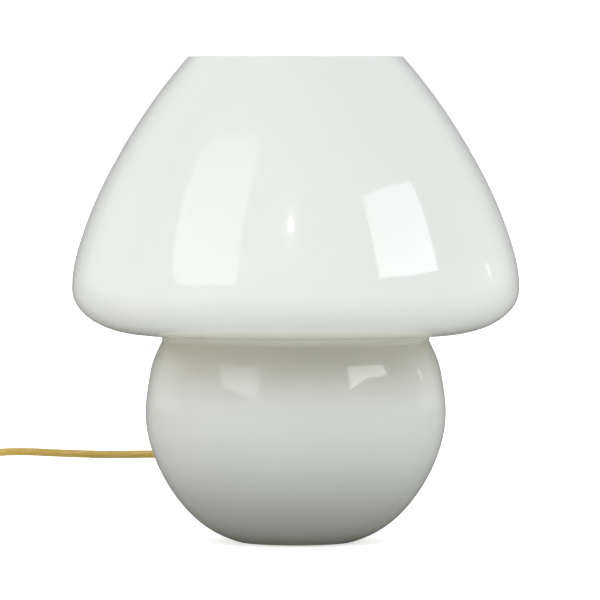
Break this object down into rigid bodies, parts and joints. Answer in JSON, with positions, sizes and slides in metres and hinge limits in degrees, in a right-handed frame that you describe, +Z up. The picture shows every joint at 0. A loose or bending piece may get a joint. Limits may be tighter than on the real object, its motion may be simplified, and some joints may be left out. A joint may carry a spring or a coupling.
{
  "type": "table lamp",
  "caption": "Mushroom table lamp blown in one piece of opal glass: open-topped shade, creased neck and globe foot, screw lampholder on a cross bracket, mains lead with switch and plug.",
  "frame": {"origin": "on the table under the glass body's axis, at the bottom of the foot", "axes": "+Z up along the lamp's axis; the lead leaves the back left, towards -X and +Y; the viewer of the picture is at -Y"},
  "size_m": [0.3795, 0.25, 0.2712],
  "materials": {
    "opal_glass": "glossy white opal glass",
    "pearl_glass": "satin pearl coating",
    "clear_glass": "clear",
    "black_glass": "fused black glass",
    "aluminium": "bright rolled sheet",
    "brass": "plain brass",
    "steel": "zinc plated",
    "ceramic": "unglazed porcelain",
    "black_plastic": "moulded, slightly worn",
    "clear_pvc": "soft milky sleeve",
    "gold_pvc": "smooth gold-tan lead sheath",
    "gold_plastic": "moulded gold-tan plastic",
    "core_brown": "smooth",
    "core_blue": "smooth",
    "tie_plastic": "soft strap"
  },
  "bodies": {
    "lamp": {"bracket_bar_lower": "steel", "bracket_bar_upper": "steel", "bracket_nipple": "brass", "bracket_nut": "brass", "bracket_sleeves": "clear_pvc", "bracket_washers": "steel", "cord_coil": "gold_pvc", "cord_end": "gold_pvc", "cord_grip": "black_plastic", "cord_grip_screw": "steel", "cord_grommet": "clear_pvc", "cord_inner": "gold_pvc", "cord_lead": "gold_pvc", "cord_middle": "gold_pvc", "cord_tie": "tie_plastic", "core_blue": "core_blue", "core_brown": "core_brown", "glass_body": "opal_glass", "holder_cap": "black_plastic", "holder_center_contact": "brass", "holder_insert": "ceramic", "holder_set_screw": "steel", "holder_shell": "brass", "holder_skirt": "black_plastic", "holder_terminal_screws": "brass", "plug_body": "gold_plastic", "plug_pin_sleeves": "black_plastic", "plug_pins": "brass", "switch_base": "gold_plastic", "switch_clamps": "gold_plastic", "switch_contacts": "brass", "switch_cover": "gold_plastic", "switch_screws": "steel", "switch_terminal_screws": "brass"},
    "bulb": {"bulb_cap": "aluminium", "bulb_glass": "pearl_glass", "bulb_insulator": "black_glass", "bulb_stem": "clear_glass", "bulb_tip": "brass", "bulb_wires": "steel"},
    "rocker": {"switch_rocker": "gold_plastic", "switch_bridge": "brass"}
  },
  "joints": [
    {"name": "bulb_lift", "type": "slide", "parent": "lamp", "child": "bulb", "axis": [0, 0, 1], "range_m": [0, 0.032]},
    {"name": "rocker_tilt", "type": "hinge", "parent": "lamp", "child": "rocker", "pos_m": [-0.241, 0.004, 0.0122], "axis": [-1, 0, 0], "range_deg": [0, 14]}
  ]
}
